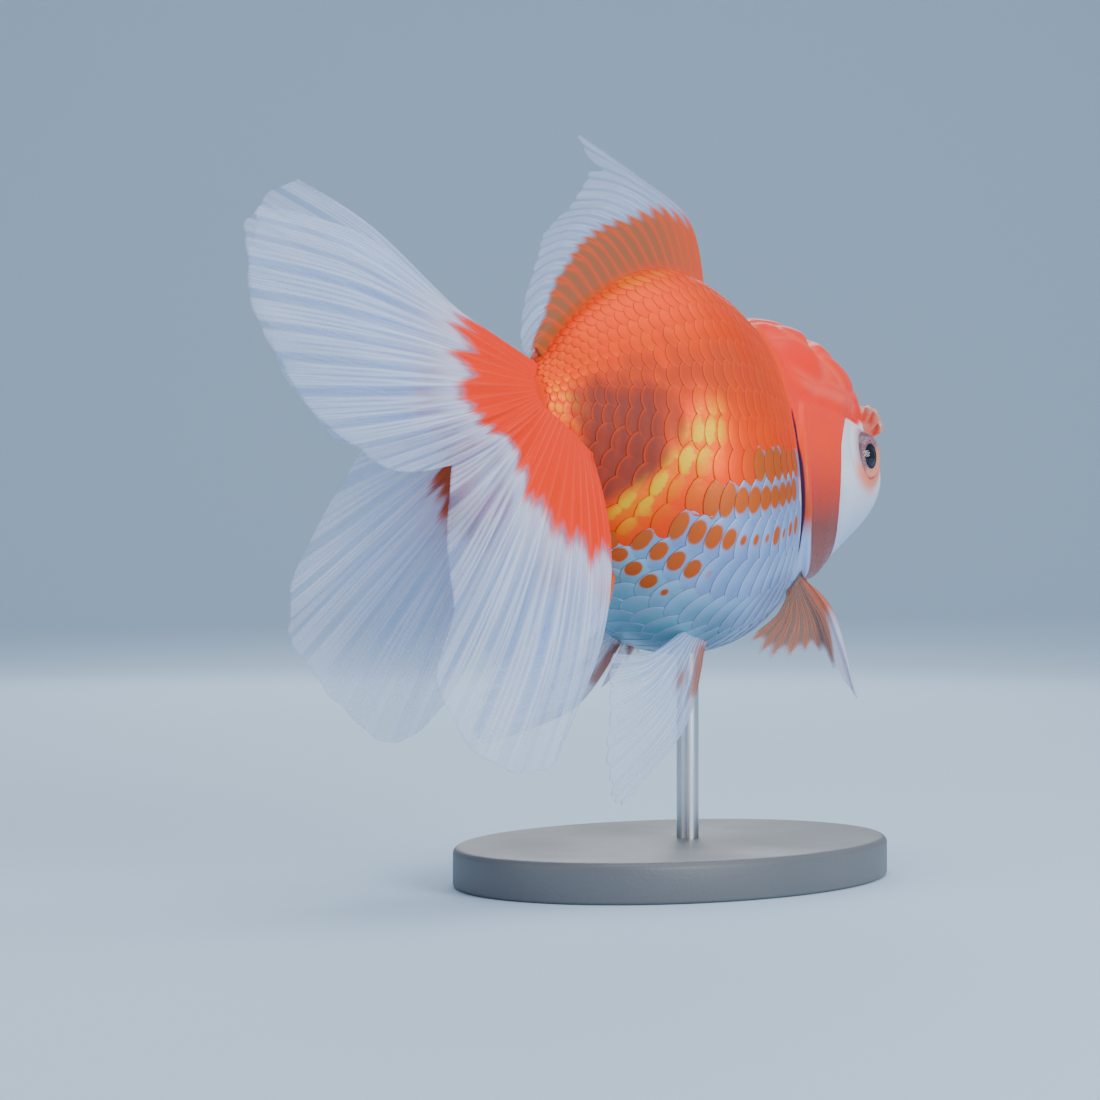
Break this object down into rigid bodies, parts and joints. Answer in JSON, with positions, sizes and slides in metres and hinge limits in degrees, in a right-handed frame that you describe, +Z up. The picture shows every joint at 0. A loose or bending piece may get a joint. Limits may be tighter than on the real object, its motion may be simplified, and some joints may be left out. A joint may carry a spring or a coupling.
{
  "type": "fancy goldfish model",
  "caption": "Life-size red and white fancy goldfish with a hooded head, round body and long double tail, held on an oval display stand by one rod.",
  "frame": {"origin": "centre of the stand base's underside, on the surface it stands on", "axes": "+X towards the snout, +Y to the fish's left, +Z up"},
  "size_m": [0.1659, 0.068, 0.1309],
  "materials": {
    "skin": "wet scaled skin, orange red over white",
    "fin": "thin translucent fin skin on pale rays",
    "eye": "wet clear eye over a dark pupil",
    "stand_base": "satin pale grey",
    "stand_rod": "satin steel"
  },
  "bodies": {
    "root": {"head": "skin", "trunk": "skin", "tail_stalk": "skin", "head_growth": "skin", "gill_cover_right": "skin", "gill_cover_left": "skin", "nostril_flap_right": "skin", "nostril_flap_left": "skin", "eye_right": "eye", "eye_left": "eye", "dorsal_fin": "fin", "pectoral_fin_right": "fin", "pectoral_fin_left": "fin", "pelvic_fin_right": "fin", "pelvic_fin_left": "fin", "anal_fin_right": "fin", "anal_fin_left": "fin", "tail_upper_right": "fin", "tail_upper_left": "fin", "tail_lower_right": "fin", "tail_lower_left": "fin", "stand_base": "stand_base", "stand_rod": "stand_rod"}
  },
  "joints": []
}
